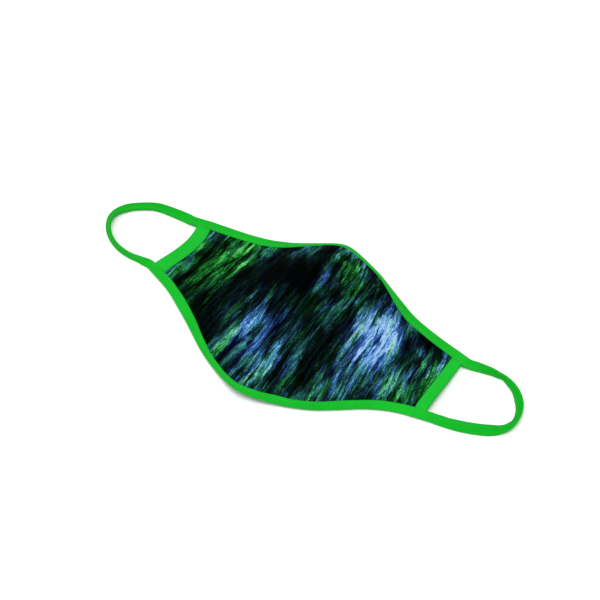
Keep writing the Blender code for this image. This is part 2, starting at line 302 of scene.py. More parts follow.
def outward(verts, faces):
    """Turns a closed mesh's quads outwards, by the sign of its volume."""
    v, f = np.asarray(verts), np.asarray(faces)
    a, b, c, d = (v[f[:, k]] for k in range(4))
    total = (a * np.cross(b, c)).sum() + (a * np.cross(c, d)).sum()
    return faces if total > 0 else [tuple(q) for q in f[:, ::-1].tolist()]


def add_flat(obj, flat, name="cut"):
    """Keeps where each vertex lay in the cut cloth, in metres, as a UV map."""
    layer = obj.data.uv_layers.new(name=name)
    loops = np.zeros(len(obj.data.loops), int)
    obj.data.loops.foreach_get("vertex_index", loops)
    layer.uv.foreach_set("vector", (np.asarray(flat)[loops] * MM).astype(
        np.float32).ravel())


def wander(seed, at, spans, sizes):
    """Sum of a few slow waves with fixed random phases."""
    rng = np.random.default_rng(seed)
    out = np.zeros_like(np.asarray(at, float))
    for span, size in zip(spans, sizes):
        out = out + size * np.sin(2 * np.pi * np.asarray(at) / span
                                  + rng.uniform(0, 2 * np.pi))
    return out


# ------------------------------------------------------------- folded tape
ARC = 9                       # points round the fold
LEG = 16                      # points along each leg
RING = 2 * (2 * LEG + ARC)


def fold_section(width, shut, lift_top, lift_under, dent, wave):
    """The folded tape cut across: (n, RING, 2) of distance in from the fold
    and height off the middle.  shut runs 0 over the cloth to 1 for the loop.
    Points run from the top free edge round the fold to the lower free edge,
    then back along the inside."""
    n = len(width)
    q = np.linspace(1, 0, LEG)[None, :]
    w = width[:, None]
    s = shut[:, None]
    r_out = 1.15 - 0.25 * s
    along = r_out + (w - r_out) * q
    left = (w - along)                       # distance from the free edge
    line = STITCH_IN
    full = (1.46 - 0.18 * q) * (1 - s) + (0.84 - 0.10 * q) * s
    valley = np.exp(-((left - line) / 0.55) ** 2)
    lip = np.exp(-((left - 0.75) / 0.45) ** 2)
    drop = np.clip(1 - left / 0.42, 0, 1) ** 2
    crown = full - (0.20 - 0.05 * s) * valley * dent[:, None] \
        + (0.05 - 0.03 * s) * lip - (0.40 - 0.02 * s) * drop + wave[:, None] * q
    inner = np.full_like(along, 0.0) + (0.62 * (1 - s) + 0.02 * s)
    inner = np.minimum(inner + 0.12 * (1 - q) * (1 - s), crown - 0.2)

    def side(sign, lift):
        return (crown + lift[:, None]), (inner + lift[:, None] * 0.999)

    top_out, top_in = side(1, lift_top)
    low_out, low_in = side(-1, lift_under)
    a = np.linspace(np.pi / 2, -np.pi / 2, ARC + 2)[1:-1][None, :]
    high, low = top_out[:, -1:], low_out[:, -1:]
    arc_h = np.where(a > 0, high, low) * np.sin(a)
    arc_w = r_out * (1 - np.cos(a)) * np.ones((n, 1))
    wall = TAPE_WALL * (1 - 0.06 * s)
    r_in = np.maximum(r_out - 0.35, 0.3)
    hi_in, lo_in = top_in[:, -1:], low_in[:, -1:]
    in_h = np.where(a < 0, lo_in, hi_in) * np.sin(a)
    in_w = wall + r_in * 0.6 * (1 - np.cos(a)) * np.ones((n, 1))
    along_in = np.maximum(along, wall + r_in * 0.6)
    out_w = np.concatenate([along, arc_w, along[:, ::-1]], 1)
    out_h = np.concatenate([top_out, arc_h, -low_out[:, ::-1]], 1)
    ins_w = np.concatenate([along_in, in_w, along_in[:, ::-1]], 1)
    ins_h = np.concatenate([top_in, in_h, -low_in[:, ::-1]], 1)
    return np.concatenate([np.stack([out_w, out_h], 2),
                           np.stack([ins_w, ins_h], 2)[:, ::-1]], 1)


def binding_span(edge):
    return BINDING_ENDS[edge]


def tape_width(edge, x):
    """The folded tape takes in more or less of the edge along the seam."""
    return smooth_rows(*np.array(TAPE_TAKES[edge]).T, x)


def from_end(edge, x):
    first, last = binding_span(edge)
    return np.minimum(x - first, last - x)


def over_band(edge, x):
    """How far the tape is lifted where the side band runs under it."""
    near = from_end(edge, x)
    return BAND_LIFT * step01(near / 4.0) * (1 - step01((near - 10.0) / 5.0))


def pressed(edge, x):
    """The binding's section thins to the loop's toward its two ends."""
    return END_PRESS * (1 - step01((from_end(edge, x) - 1.0) / 13.0))


def stations(first, last, edge):
    """x positions evenly spaced along the edge."""
    x = np.linspace(first, last, 2001)
    p = on_edge(edge, x, 0.0)
    run = np.concatenate([[0], np.cumsum(np.linalg.norm(
        np.diff(p, axis=0), axis=1))])
    count = int(round(run[-1] / 0.65))
    at = np.linspace(0, run[-1], count + 1)
    return np.interp(at, run, x), at


def binding_place(edge, x, section):
    """Section points (n, m, 2) laid on the cloth's edge at each x."""
    dx, ds = inward_step(x, edge)
    w, h = section[..., 0], section[..., 1]
    at = x[:, None] + dx[:, None] * w
    run = ds[:, None] * w
    return on_edge(edge, at, run) + edge_normal(edge, at, run) * h[..., None]


def binding_rings(edge):
    first, last = binding_span(edge)
    x, run = stations(first, last, edge)
    seed = 11 if edge == "nose" else 23
    dent = 0.75 + 0.25 * np.cos(2 * np.pi * run / STITCH_PITCH)
    wave = wander(seed, run, (37.0, 17.0, 7.3), (0.03, 0.03, 0.02))
    lift = over_band(edge, x)
    sec = fold_section(tape_width(edge, x) + wander(
        seed + 1, run, (61.0, 23.0), (0.10, 0.06)),
        pressed(edge, x), lift, lift, dent, wave)
    return binding_place(edge, x, sec), x, run, sec


# ------------------------------------------------------------- the ear loops
def tape_end(edge, side, rings):
    """The binding's last ring where the loop takes over, and its heading."""
    ring, back = (rings[0], rings[4]) if side == "left" else (rings[-1], rings[-5])
    mid = 2 * LEG + ARC
    fold = ring[LEG + ARC // 2]
    free = (ring[0] + ring[mid - 1]) / 2
    return ring, unit((ring - back).mean(0)), fold, unit(free - fold)


def loop_rings(side, bindings):
    """Rings of the loop, the first and last the same as the bindings' ends."""
    rows = LOOPS[side]
    ends = [tape_end("nose", side, bindings["nose"]),
            tape_end("chin", side, bindings["chin"])]
    plan = [ends[0][2] + ends[0][3] * LOOP_WIDTH / 2]
    leans = [math.degrees(math.asin(ends[0][3][2]))]
    for x, y, roll in rows:
        plan.append(np.array([x, y, 0.0]))
        leans.append(roll)
    plan.append(ends[1][2] + ends[1][3] * LOOP_WIDTH / 2)
    leans.append(math.degrees(math.asin(ends[1][3][2])))
    plan, leans = np.array(plan), np.array(leans)
    run = np.concatenate([[0], np.cumsum(np.linalg.norm(
        np.diff(plan[:, :2], axis=0), axis=1))])
    slope = np.zeros((len(run), 2))
    for k in range(len(run)):
        lo, hi = max(k - 1, 0), min(k + 1, len(run) - 1)
        slope[k] = (plan[hi, :2] - plan[lo, :2]) / (run[hi] - run[lo])
    count = int(round(run[-1] / 0.6))
    s = np.linspace(0, run[-1], count + 1)
    i = np.clip(np.searchsorted(run, s, side="right") - 1, 0, len(run) - 2)
    h = run[i + 1] - run[i]
    t = (s - run[i]) / h
    t_, h_ = t[:, None], h[:, None]
    xy = ((1 + 2 * t_) * (1 - t_) ** 2 * plan[i, :2]
          + t_ * (1 - t_) ** 2 * h_ * slope[i]
          + t_ * t_ * (3 - 2 * t_) * plan[i + 1, :2]
          + t_ * t_ * (t_ - 1) * h_ * slope[i + 1])
    for k in range(2):
        xy[:, k] = eased(xy[:, k], 2.0, s[1] - s[0])
    lean = np.radians(eased(smooth_rows(run, leans, s), 2.0, s[1] - s[0]))
    tangent = unit(np.gradient(xy, axis=0))
    hole = 1.0 if side == "left" else -1.0
    inward = hole * np.stack([-tangent[:, 1], tangent[:, 0]], 1)

    near = step01(np.minimum(s, s[-1] - s) / 8.0)
    shut = END_PRESS + (1 - END_PRESS) * near
    k = 0 if side == "left" else 1
    first, last = (float(tape_width(e, np.array([BINDING_ENDS[e][k]]))[0])
                   for e in ("nose", "chin"))
    width = (LOOP_WIDTH + (first - LOOP_WIDTH) * (1 - step01(s / 12.0))
             + (last - LOOP_WIDTH) * (1 - step01((s[-1] - s) / 12.0)))
    lift = np.zeros_like(s)
    dent = 0.75 + 0.25 * np.cos(2 * np.pi * s / STITCH_PITCH)
    wave = wander(31 if side == "left" else 37, s, (29.0, 13.0, 5.9),
                  (0.025, 0.025, 0.015)) * shut
    sec = fold_section(width, shut, lift, lift, dent, wave)

    # how each section leans across its width: straight, but for the crease
    # where one part lies flat and the rest already stands on edge
    q = np.linspace(0, LOOP_WIDTH + 1.2, 47)
    angle = np.repeat(lean[:, None], len(q), 1)
    outer = xy - inward * (LOOP_WIDTH / 2 * np.cos(lean))[:, None]
    first_half = s < s[-1] / 2
    if side == "right":
        x = xy[:, 0]
        keys, edge_y, edge_z = np.array(CREASE_EDGE).T
        edge_y, edge_z = smooth_rows(keys, edge_y, x), smooth_rows(keys, edge_z, x)
        done = np.where(first_half, step01((x - 134.0) / 7.0), 1.0)
        at = LOOP_WIDTH - (edge_z - 0.9)
        at = at * (1 - done) - 1.5 * done
        k = step01((q[None, :] - at[:, None]) / 1.5 + 0.5)
        flat_part = np.radians(-2.0 - 10.0 * step01((x - CREASE_FROM) / 16.0))
        stand = math.radians(-90.0) * (1 - done) + lean * done
        angle = flat_part[:, None] * (1 - k) + stand[:, None] * k
        m = 1 - done
        back = 0.75 * step01((edge_z - 2.0) / 4.5)
        outer[:, 1] = (edge_y - back) * m + outer[:, 1] * (1 - m)
        outer[:, 0] = x * m + outer[:, 0] * (1 - m)
    dq = q[1] - q[0]
    mid = (angle[:, 1:] + angle[:, :-1]) / 2
    over = np.concatenate([np.zeros((len(s), 1)), np.cumsum(np.cos(mid), 1)], 1) * dq
    rise = np.concatenate([np.zeros((len(s), 1)), np.cumsum(np.sin(mid), 1)], 1) * dq
    w = sec[..., 0]
    j = np.clip(w / dq, 0, len(q) - 1.001)
    j0 = j.astype(int)
    f = j - j0
    line = np.arange(len(s))[:, None]

    def along(v):
        return v[line, j0] * (1 - f) + v[line, j0 + 1] * f

    o, r, th = along(over), along(rise), along(angle)
    hgt = sec[..., 1]
    flat_in = o - hgt * np.sin(th)
    up = r + hgt * np.cos(th)
    up = up - up.min(1, keepdims=True)
    rings = np.concatenate([
        outer[:, None] + inward[:, None] * flat_in[..., None],
        (up + 0.06)[..., None]], 2)
    for end, dist in ((0, s), (1, s[-1] - s)):
        ring, heading, _, _ = ends[end]
        reach = LOOP_EASE[side][end]
        k = (1 - step01(dist / reach))[:, None, None]
        rings = rings * (1 - k) + (ring[None] + heading * dist[:, None, None]) * k
    return rings, s, sec


# ------------------------------------------------------------- side bands
def band_rings(side):
    """The band over the panel's end, passing under both bindings."""
    steps = 84
    v0 = np.linspace(0, 1, steps + 1)
    n = len(v0)
    dent = 0.75 + 0.25 * np.cos(2 * np.pi * v0 * 22)
    wave = wander(41, v0 * 60, (31.0, 13.0), (0.02, 0.02))
    near = np.minimum(v0, 1 - v0) * (length_at(ENDS[side][1]) - 5.2)
    press = 0.60 * (1 - step01((near - 4.5) / 4.0))
    sec = fold_section(np.full(n, BAND_WIDTH[side]), press, np.full(n, -0.12),
                       np.full(n, -0.12), dent, wave)
    w, h = sec[..., 0], sec[..., 1]
    v = np.repeat(v0[:, None], w.shape[1], 1)
    for _ in range(4):
        x = band_edge(side, v, w)
        L = length_at(x)
        low = 2.6 * inward_step(x, "chin")[1]
        high = L - 2.6 * inward_step(x, "nose")[1]
        run = low + (high - low) * v0[:, None]
        v = run / L
    return cloth(x, run) + normal_at(x, run) * h[..., None], v0, sec, (x, run)


# ------------------------------------------------------------- face panel
STREAK_ACROSS = np.array([0.913, 0.022, -0.409])
STREAK_LEAN, STREAK_FAN = 0.04, 0.00145


def panel_grid():
    nu, nv = 230, 150
    share = np.linspace(0, 1, nu + 1)
    rows = np.linspace(0, 1, nv + 1)
    S, R = np.meshgrid(share, rows, indexing="ij")
    v = R.copy()
    for _ in range(5):
        left, right = band_edge("left", v, PANEL_INSET), \
            band_edge("right", v, PANEL_INSET)
        x = left + (right - left) * S
        L = length_at(x)
        run = PANEL_INSET + (L - 2 * PANEL_INSET) * R
        v = run / L
    return x, run, L


def build_panel():
    x, run, L = panel_grid()
    nu, nv = x.shape
    p, n = cloth(x, run), normal_at(x, run, 2.0)
    edge = np.minimum(run, L - run)
    # faint slack in the cloth, and puckers where the tape gathers its edge
    slack = (np.sin(x / 17.0 + 0.8 * np.sin(run / 23.0))
             * np.sin(run / 15.0 + 0.6)) * 0.22 * step01((edge - 6) / 20)
    pucker = (wander(5, x + 0.25 * run, (9.1, 6.3, 4.7), (0.07, 0.06, 0.04))
              * np.exp(-((edge - 9.5) / 5.0) ** 2)
              * step01((103 - np.abs(x)) / 8))
    p = p + n * (slack + pucker)[..., None]
    top, under = p + n * CLOTH / 2, p - n * CLOTH / 2
    verts = np.concatenate([top.reshape(-1, 3), under.reshape(-1, 3)])
    faces, half = [], nu * nv

    def at(i, j):
        return i * nv + j

    for i in range(nu - 1):
        for j in range(nv - 1):
            a, b, c, d = at(i, j), at(i + 1, j), at(i + 1, j + 1), at(i, j + 1)
            faces.append((a, b, c, d))
    outer = len(faces)
    for i in range(nu - 1):
        for j in range(nv - 1):
            a, b, c, d = at(i, j), at(i + 1, j), at(i + 1, j + 1), at(i, j + 1)
            faces.append((half + d, half + c, half + b, half + a))
    ring = ([at(i, 0) for i in range(nu)] + [at(nu - 1, j) for j in range(1, nv)]
            + [at(i, nv - 1) for i in range(nu - 2, -1, -1)]
            + [at(0, j) for j in range(nv - 2, 0, -1)])
    for a, b in zip(ring, ring[1:] + ring[:1]):
        faces.append((b, a, half + a, half + b))
    obj = new_mesh("panel_cloth", verts, faces)
    # in the cut cloth: distance along from the middle, and the run up it
    mid = length_at(0.0) * 0.5
    flat = np.stack([x, run - L * 0.5 + mid], -1).reshape(-1, 2)
    add_flat(obj, np.concatenate([flat, flat]))
    # the print's own lines: planes that cut the dome, leaning over and
    # fanning a little from one end to the other; the run is kept along them
    a = p @ STREAK_ACROSS
    b = run - L * 0.5
    lines = np.stack([a + (STREAK_LEAN + STREAK_FAN * a) * b, b],
                     -1).reshape(-1, 2)
    add_flat(obj, np.concatenate([lines, lines]), "streak")
    return obj, outer


# ------------------------------------------------------------- stitches
def capsules(name, points, tangents, ups, long=STITCH_LONG, thick=THREAD):
    """One mesh of short rounded stitches, slightly sunk at their ends."""
    rings, sides = 7, 6
    verts, faces = [], []
    ang = np.linspace(0, 2 * np.pi, sides, endpoint=False)
    for p, t, u in zip(points, tangents, ups):
        t = unit(t)
        u = unit(u - u.dot(t) * t)
        b = np.cross(t, u)
        base = len(verts)
        for k in range(rings):
            f = k / (rings - 1) * 2 - 1
            r = thick / 2 * math.sqrt(max(1 - abs(f) ** 4, 0.04))
            sink = -0.16 * abs(f) ** 3
            c = p + t * (f * long / 2) + u * (sink + thick * 0.15)
            for q in ang:
                verts.append(c + r * (math.cos(q) * b + math.sin(q) * u))
        for k in range(rings - 1):
            for q in range(sides):
                a, b2 = base + k * sides + q, base + k * sides + (q + 1) % sides
                faces.append((a, b2, b2 + sides, a + sides))
        faces.append(tuple(base + q for q in reversed(range(sides))))
        faces.append(tuple(base + (rings - 1) * sides + q
                           for q in range(sides)))
    return new_mesh(name, np.array(verts), faces)


def row_of(rings, index, under_index, run, skip=1.0):
    """Stitch places on two ring columns, top and underside."""
    pts, tans, ups = [], [], []
    at = np.arange(run[0] + skip, run[-1] - skip, STITCH_PITCH)
    for col, inner in ((index, None), (under_index, None)):
        line = rings[:, col]
        near = rings[:, col - 1], rings[:, col + 1]
        tan = unit(np.gradient(line, axis=0))
        cross = unit(near[1] - near[0])
        up = unit(np.cross(tan, cross))
        mid = rings.mean(1)
        sign = np.sign(((line - mid) * up).sum(1))
        up = up * sign[:, None]
        for a in at:
            pts.append([np.interp(a, run, line[:, k]) for k in range(3)])
            tans.append([np.interp(a, run, tan[:, k]) for k in range(3)])
            ups.append([np.interp(a, run, up[:, k]) for k in range(3)])
    return np.array(pts), np.array(tans), np.array(ups)


# ------------------------------------------------------------- materials
def nodes_of(name):
    mat = bpy.data.materials.new(name)
    mat.use_nodes = True
    tree = mat.node_tree
    bsdf = tree.nodes["Principled BSDF"]
    return mat, tree, bsdf


class Graph:
    """Short hand for making and joining shader nodes."""

    def __init__(self, tree):
        self.tree = tree

    def node(self, kind, **settings):
        n = self.tree.nodes.new(kind)
        for k, v in settings.items():
            setattr(n, k, v)
        return n

    def put(self, socket, value):
        if hasattr(value, "links") or isinstance(value, bpy.types.NodeSocket):
            self.tree.links.new(value, socket)
        else:
            socket.default_value = value

    def math(self, op, a, b=None, c=None, clamp=False):
        n = self.node("ShaderNodeMath", operation=op, use_clamp=clamp)
        for k, v in enumerate((a, b, c)):
            if v is not None:
                self.put(n.inputs[k], v)
        return n.outputs[0]

    def vec(self, op, a, b=None, scale=None):
        n = self.node("ShaderNodeVectorMath", operation=op)
        self.put(n.inputs[0], a)
        if b is not None:
            self.put(n.inputs[1], b)
        if scale is not None:
            self.put(n.inputs["Scale"], scale)
        return n.outputs[0]

    def noise(self, vector, scale, detail=2.0, rough=0.5, distort=0.0):
        n = self.node("ShaderNodeTexNoise", noise_dimensions="3D")
        self.put(n.inputs["Vector"], vector)
        n.inputs["Scale"].default_value = scale
        n.inputs["Detail"].default_value = detail
        n.inputs["Roughness"].default_value = rough
        n.inputs["Distortion"].default_value = distort
        return n.outputs["Fac"]

    def ramp(self, value, stops, mode="LINEAR"):
        n = self.node("ShaderNodeValToRGB")
        n.color_ramp.interpolation = mode
        self.put(n.inputs[0], value)
        el = n.color_ramp.elements
        while len(el) < len(stops):
            el.new(0.5)
        for e, (pos, col) in zip(el, stops):
            e.position = pos
            e.color = (*col, 1.0) if len(col) == 3 else col
        return n.outputs[0]

    def curve(self, value, low, high, a=0.0, b=1.0, smooth=True):
        n = self.node("ShaderNodeMapRange",
                      interpolation_type="SMOOTHSTEP" if smooth else "LINEAR")
        self.put(n.inputs[0], value)
        for k, v in enumerate((low, high, a, b)):
            n.inputs[k + 1].default_value = v
        return n.outputs[0]

    def mix(self, fac, a, b, mode="MIX"):
        n = self.node("ShaderNodeMix", data_type="RGBA", blend_type=mode)
        self.put(n.inputs[0], fac)
        self.put(n.inputs[6], a)
        self.put(n.inputs[7], b)
        return n.outputs[2]


def print_material():
    """Outer face: a fine knit, dark, with soft slanting streaks of colour."""
    mat, tree, bsdf = nodes_of("print_knit")
    g = Graph(tree)
    flat = g.vec("SCALE", g.node("ShaderNodeUVMap", uv_map="cut").outputs[0],
                 scale=1000.0)                                   # millimetres
    line = g.vec("SCALE", g.node("ShaderNodeUVMap", uv_map="streak").outputs[0],
                 scale=1000.0)      # x across the streaks, y along them

    def drawn(vector, across, along, seed, detail=3.0, rough=0.55):
        """Noise drawn out along the streaks; sizes in millimetres."""
        m = g.node("ShaderNodeMapping", vector_type="POINT")
        g.put(m.inputs["Vector"], vector)
        m.inputs["Scale"].default_value = (1 / across, 1 / along, 1.0)
        m.inputs["Location"].default_value = (seed * 7.31, seed * 3.17, seed * 1.9)
        return g.noise(m.outputs[0], 1.0, detail, rough)

    # the streaks wander a little sideways, in long and in short waves
    long_wave = g.math("MULTIPLY", g.math(
        "SUBTRACT", drawn(line, 34, 64, 41, 1.0), 0.5), 10.0)
    short_wave = g.math("MULTIPLY", g.math(
        "SUBTRACT", drawn(line, 2.6, 6.5, 43, 2.0), 0.5), 1.7)
    side = g.node("ShaderNodeCombineXYZ")
    g.put(side.inputs[0], g.math("ADD", long_wave, short_wave))
    bent = g.vec("ADD", line, side.outputs[0])

    def slanted(vector, degrees):
        m = g.node("ShaderNodeMapping", vector_type="POINT")
        g.put(m.inputs["Vector"], vector)
        m.inputs["Rotation"].default_value = (0.0, 0.0, math.radians(degrees))
        return m.outputs[0]

    def ridge(value, low, high):
        """Thin bright lines where the noise crosses its middle."""
        far = g.math("ABSOLUTE", g.math("SUBTRACT", value, 0.5))
        return g.curve(far, high, low, 0.0, 1.0)

    def blend(rows):
        """Weighted sum of (weight, value) rows."""
        return sum_of(g, [g.math("MULTIPLY", v, w) for w, v in rows])

    broad = g.curve(drawn(bent, 3.5, 40.0, 3, 3.0, 0.58), 0.38, 0.64)
    mid = g.curve(drawn(bent, 1.8, 19.0, 4, 3.0, 0.62), 0.38, 0.66)
    fine = g.curve(drawn(bent, 0.95, 8.5, 5, 2.0, 0.60), 0.36, 0.66)
    net = blend(((0.60, ridge(drawn(slanted(bent, 9.0), 1.9, 8.5, 1, 2.0, 0.5),
                              0.0, 0.085)),
                 (0.50, ridge(drawn(slanted(bent, -8.0), 1.5, 7.0, 2, 2.0, 0.5),
                              0.0, 0.085))))
    net = g.math("MULTIPLY", net, g.curve(drawn(bent, 9, 20, 8, 2.0), 0.42, 0.60,
                                          0.10, 1.0))
    grain = g.curve(g.noise(flat, 1.1, 2.0, 0.7), 0.34, 0.66, 0.70, 1.22)

    def spot(cx, cy, rx, ry, power=1.0):
        """A soft oval patch lying along the streaks."""
        m = g.node("ShaderNodeMapping", vector_type="POINT")
        g.put(m.inputs["Vector"], g.vec("SUBTRACT", bent, (cx, cy, 0.0)))
        m.inputs["Scale"].default_value = (1 / rx, 1 / ry, 1.0)
        d = g.node("ShaderNodeVectorMath", operation="LENGTH")
        g.put(d.inputs[0], m.outputs[0])
        return g.curve(d.outputs["Value"], 1.0, 0.0, 0.0, power)

    def patches(rows):
        return sum_of(g, [spot(*row) for row in rows])

    cloud = g.curve(drawn(bent, 16, 54, 6, 2.0, 0.50), 0.36, 0.66)
    glow = g.math("ADD", g.math("ADD", 0.20, g.math("MULTIPLY", cloud, 0.62)),
                  patches(BRIGHT))
    glow = g.math("MULTIPLY", glow, g.math("SUBTRACT", 1.0, patches(DARK),
                                           clamp=True))
    body = g.math("ADD", 0.11, blend(((0.36, broad), (0.48, mid))))
    body = g.math("MULTIPLY", body, g.math("ADD", 0.58, g.math(
        "MULTIPLY", fine, 0.70)))
    body = g.math("ADD", body, g.math("MULTIPLY", net, g.math(
        "ADD", 0.20, g.math("MULTIPLY", broad, 0.42))))
    # a few soft strokes with no fibres in them
    stroke = g.curve(drawn(bent, 6.0, 30.0, 12, 1.0), 0.53, 0.70)
    body = g.math("ADD", body, g.math("MULTIPLY", stroke, 0.30))
    value = g.math("MULTIPLY", g.math("MULTIPLY", glow, body), grain)
    # the brightest places level off instead of filling in
    value = g.math("SUBTRACT", 1.0, g.math("EXPONENT", g.math(
        "MULTIPLY", value, -PRINT_GAIN)))
    hue = g.math("ADD", g.math("MULTIPLY", g.math("SUBTRACT", drawn(
        bent, 3.6, 26, 9, 3.0, 0.6), 0.5), 4.0), patches(BLUE))
    hue = g.math("SUBTRACT", hue, patches(GREEN))
    to_blue = g.curve(hue, 0.05, 0.60)
    to_green = g.curve(hue, -0.05, -0.60)

    at = PRINT_STOPS
    blue = g.ramp(value, tuple(zip(at, (
        (0.0001, 0.0002, 0.0008), (0.0006, 0.0012, 0.0040), (0.0040, 0.0085, 0.026),
        (0.0110, 0.034, 0.112), (0.028, 0.106, 0.335), (0.074, 0.238, 0.60),
        (0.38, 0.62, 0.88)))))
    teal = g.ramp(value, tuple(zip(at, (
        (0.0001, 0.0002, 0.0002), (0.0004, 0.0018, 0.0016), (0.0026, 0.0110, 0.0102),
        (0.0078, 0.046, 0.040), (0.021, 0.133, 0.110), (0.050, 0.275, 0.230),
        (0.36, 0.72, 0.66)))))
    green = g.ramp(value, tuple(zip(at, (
        (0.0001, 0.0002, 0.0001), (0.0003, 0.0020, 0.0007), (0.0018, 0.0135, 0.0038),
        (0.0044, 0.062, 0.010), (0.012, 0.180, 0.023), (0.026, 0.355, 0.040),
        (0.22, 0.78, 0.28)))))
    colour = g.mix(to_blue, g.mix(to_green, teal, green), blue)

    # knit: rows of small stitches, a little over one to the millimetre
    knit = g.node("ShaderNodeTexWave", wave_type="BANDS", bands_direction="X",
                  wave_profile="SIN")
    g.put(knit.inputs["Vector"], flat)
    knit.inputs["Scale"].default_value = 0.44
    knit.inputs["Distortion"].default_value = 0.25
    knit.inputs["Detail Scale"].default_value = 0.6
    rows = g.node("ShaderNodeTexWave", wave_type="BANDS", bands_direction="Y",
                  wave_profile="SIN")
    g.put(rows.inputs["Vector"], flat)
    rows.inputs["Scale"].default_value = 0.56
    rows.inputs["Distortion"].default_value = 0.25
    weave = g.math("MULTIPLY", knit.outputs["Fac"], rows.outputs["Fac"])
    shade = g.curve(weave, 0.0, 0.7, 0.80, 0.97, smooth=False)
    shade_c = g.node("ShaderNodeCombineColor")
    for k in range(3):
        g.put(shade_c.inputs[k], shade)
    colour = g.mix(1.0, colour, shade_c.outputs[0], "MULTIPLY")
    tree.links.new(colour, bsdf.inputs["Base Color"])
    rough = g.curve(g.noise(flat, 0.09, 3.0), 0.3, 0.7, 0.84, 0.95)
    tree.links.new(rough, bsdf.inputs["Roughness"])
    bsdf.inputs["Specular IOR Level"].default_value = 0.004
    bump = g.node("ShaderNodeBump")
    bump.inputs["Strength"].default_value = 0.5
    bump.inputs["Distance"].default_value = 0.00012
    g.put(bump.inputs["Height"], weave)
    tree.links.new(bump.outputs[0], bsdf.inputs["Normal"])
    return mat


def sum_of(g, values):
    total = values[0]
    for v in values[1:]:
        total = g.math("ADD", total, v)
    return total


def lining_material():
    """Wearer's side: plain charcoal knit."""
    mat, tree, bsdf = nodes_of("lining_knit")
    g = Graph(tree)
    uv = g.node("ShaderNodeUVMap", uv_map="cut").outputs[0]
    flat = g.vec("SCALE", uv, scale=1000.0)
    rib = g.node("ShaderNodeTexWave", wave_type="BANDS", bands_direction="X")
    g.put(rib.inputs["Vector"], flat)
    rib.inputs["Scale"].default_value = 0.40
    rib.inputs["Distortion"].default_value = 0.3
    row = g.node("ShaderNodeTexWave", wave_type="BANDS", bands_direction="Y")
    g.put(row.inputs["Vector"], flat)
    row.inputs["Scale"].default_value = 0.50
    row.inputs["Distortion"].default_value = 0.3
    weave = g.math("MULTIPLY", rib.outputs["Fac"], row.outputs["Fac"])
    tone = g.noise(flat, 0.05, 4.0, 0.6)
    colour = g.ramp(g.math("ADD", g.math("MULTIPLY", weave, 0.45), g.math(
        "MULTIPLY", tone, 0.55)), ((0.15, (0.010, 0.011, 0.013)),
                                   (0.85, (0.040, 0.042, 0.046))))
    tree.links.new(colour, bsdf.inputs["Base Color"])
    tree.links.new(g.curve(tone, 0.3, 0.7, 0.82, 0.95), bsdf.inputs["Roughness"])
    bsdf.inputs["Specular IOR Level"].default_value = 0.2
    bsdf.inputs["Sheen Weight"].default_value = 0.05
    bump = g.node("ShaderNodeBump")
    bump.inputs["Strength"].default_value = 0.6
    bump.inputs["Distance"].default_value = 0.00015
    g.put(bump.inputs["Height"], weave)
    tree.links.new(bump.outputs[0], bsdf.inputs["Normal"])
    return mat


def tape_material(name, colour, warm, total=0.0):
    """Knitted edging tape: fine ribs along it, soft matt green.  A loop's
    tape, total long, has painted shade: it is painted a little darker
    away from its two ends."""
    mat, tree, bsdf = nodes_of(name)
    g = Graph(tree)
    uv = g.node("ShaderNodeUVMap", uv_map="cut").outputs[0]
    flat = g.vec("SCALE", uv, scale=1000.0)     # x along the tape, y across it
    rib = g.node("ShaderNodeTexWave", wave_type="BANDS", bands_direction="Y")
    g.put(rib.inputs["Vector"], flat)
    rib.inputs["Scale"].default_value = 0.42
    rib.inputs["Distortion"].default_value = 0.4
    rib.inputs["Detail Scale"].default_value = 0.5
    row = g.node("ShaderNodeTexWave", wave_type="BANDS", bands_direction="X")
    g.put(row.inputs["Vector"], flat)
    row.inputs["Scale"].default_value = 0.50
    row.inputs["Distortion"].default_value = 0.4
    weave = g.math("MULTIPLY", rib.outputs["Fac"], row.outputs["Fac"])
    tone = g.noise(flat, 0.035, 3.0, 0.55)
    fuzz = g.noise(flat, 1.4, 2.0, 0.6)
    mixed = g.math("ADD", g.math("MULTIPLY", weave, 0.30), g.math(
        "ADD", g.math("MULTIPLY", tone, 0.50), g.math("MULTIPLY", fuzz, 0.20)))
    dark = tuple(c * 0.80 for c in colour)
    light = tuple(c * 1.16 + w for c, w in zip(colour, warm))
    base = g.ramp(mixed, ((0.22, dark), (0.50, colour), (0.80, light)))
    if total:
        split = g.node("ShaderNodeSeparateXYZ")
        g.put(split.inputs[0], flat)
        along = split.outputs[0]
        # painted shade: the loop's tape is painted darker away from its two ends
        loop_painted_shade = g.math("MULTIPLY", g.curve(along, 2.0, 26.0),
                      g.curve(along, total - 2.0, total - 26.0))
        base = g.mix(g.math("MULTIPLY", loop_painted_shade, 0.60), base, (
            colour[0] * 0.5, colour[1] * 0.80, colour[2] * 0.6, 1.0))
    tree.links.new(base, bsdf.inputs["Base Color"])
    tree.links.new(g.curve(fuzz, 0.3, 0.7, 0.80, 0.94), bsdf.inputs["Roughness"])
    bsdf.inputs["Specular IOR Level"].default_value = 0.04
    bump = g.node("ShaderNodeBump")
    bump.inputs["Strength"].default_value = 0.55
    bump.inputs["Distance"].default_value = 0.00014
    g.put(bump.inputs["Height"], weave)
    tree.links.new(bump.outputs[0], bsdf.inputs["Normal"])
    return mat


